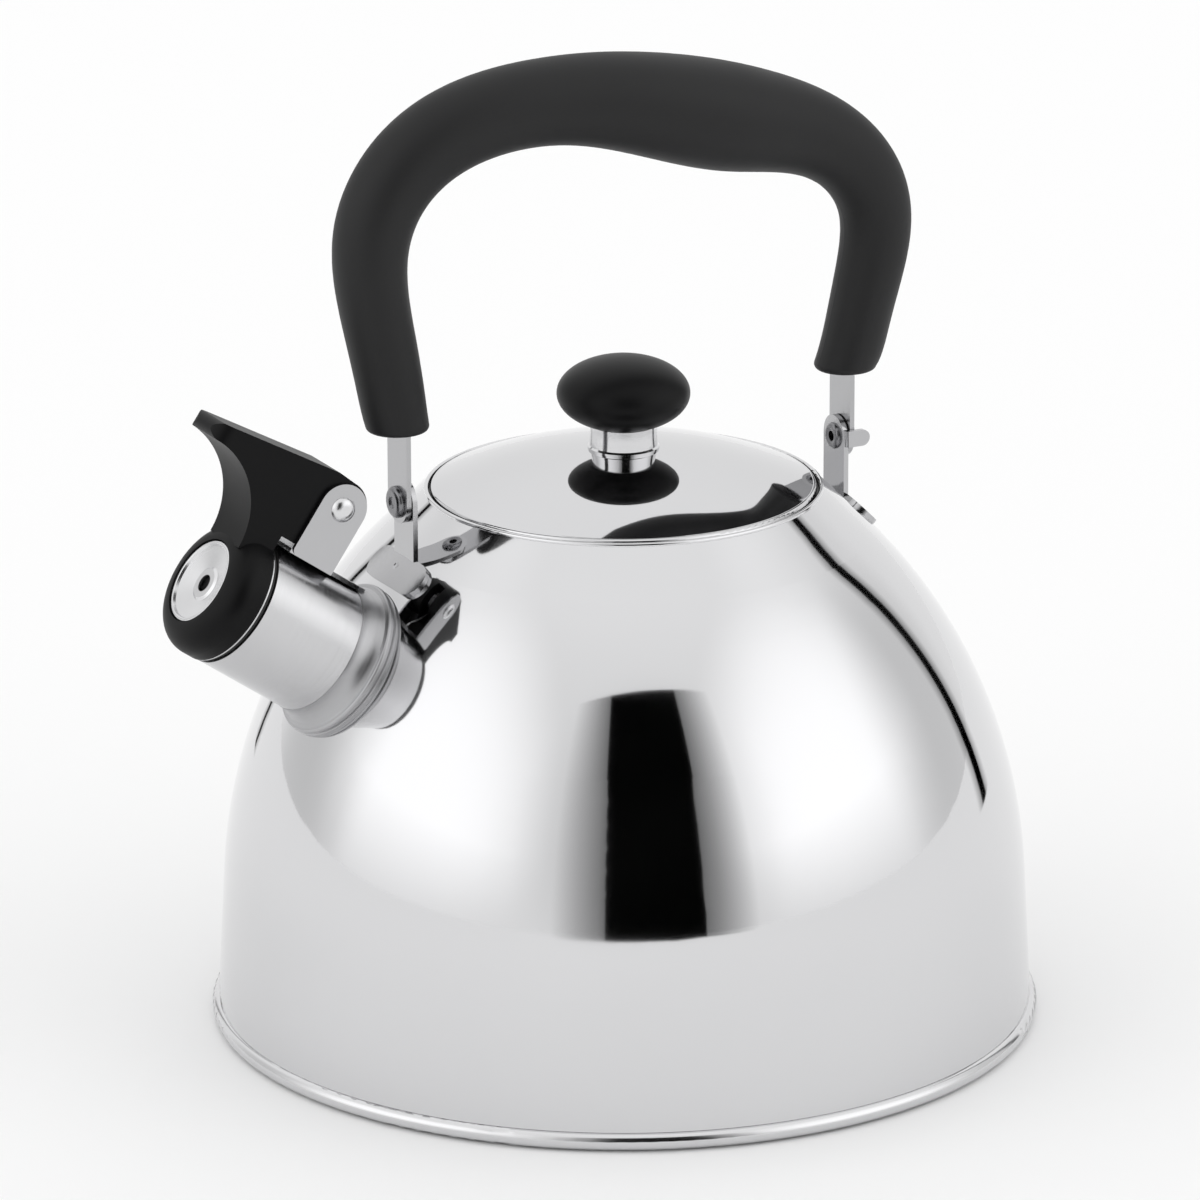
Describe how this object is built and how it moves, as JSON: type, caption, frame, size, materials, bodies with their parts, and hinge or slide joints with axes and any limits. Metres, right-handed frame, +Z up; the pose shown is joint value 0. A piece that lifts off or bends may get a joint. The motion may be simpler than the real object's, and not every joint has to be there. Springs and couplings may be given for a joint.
{
  "type": "stovetop whistling kettle",
  "caption": "Domed steel stovetop kettle with a folding arched handle, lift-off lid, short spout and a sprung flip-up whistle worked by a thumb lever.",
  "frame": {"origin": "centre of the base's underside, on the surface the kettle stands on", "axes": "+Z up along the body's axis; the spout points along -X; the handle's pivots lie along X"},
  "size_m": [0.2141, 0.196, 0.234],
  "materials": {
    "polished_steel": "mirror-polished stainless steel",
    "satin_steel": "satin stainless steel",
    "spring_steel": "plain drawn steel",
    "aluminium_core": "mill finish",
    "black_moulding": "satin black moulding",
    "silicone": "dark silicone rubber",
    "nylon": "dark nylon",
    "brass_insert": "turned brass"
  },
  "bodies": {
    "kettle": {"kettle_body": "polished_steel", "base_pan": "polished_steel", "heat_spreader_disc": "aluminium_core", "base_cap": "satin_steel", "spout_tube": "satin_steel", "spout_collar": "polished_steel", "whistle_bracket": "satin_steel", "whistle_pin": "satin_steel", "whistle_spring": "spring_steel", "front_bracket": "satin_steel", "rear_bracket": "satin_steel", "front_rivet": "satin_steel", "rear_rivet": "satin_steel", "front_pivot_washer": "nylon", "rear_pivot_washer": "nylon"},
    "handle": {"handle_grip": "black_moulding", "front_strap": "satin_steel", "rear_strap": "satin_steel"},
    "lid": {"lid_shell": "polished_steel", "lid_plug_ring": "satin_steel", "lid_knob": "black_moulding", "knob_ferrule": "polished_steel", "knob_insert": "brass_insert", "knob_washer": "spring_steel", "knob_screw": "spring_steel"},
    "whistle": {"whistle_lever": "black_moulding", "whistle_front_disc": "satin_steel", "whistle_rear_disc": "satin_steel", "whistle_cup": "satin_steel", "whistle_gasket": "silicone"}
  },
  "joints": [
    {"name": "handle_fold", "type": "hinge", "parent": "kettle", "child": "handle", "pos_m": [0, 0, 0.1334], "axis": [-1, 0, 0], "range_deg": [0, 106]},
    {"name": "lid_lift", "type": "slide", "parent": "kettle", "child": "lid", "axis": [0, 0, 1], "range_m": [0, 0.04]},
    {"name": "whistle_flip", "type": "hinge", "parent": "kettle", "child": "whistle", "pos_m": [-0.07658, 0, 0.13642], "axis": [0, 1, 0], "range_deg": [0, 57], "stiffness_Nm_per_rad": 0.04, "springref_deg": -34.38, "deforming": ["whistle_spring"]}
  ]
}
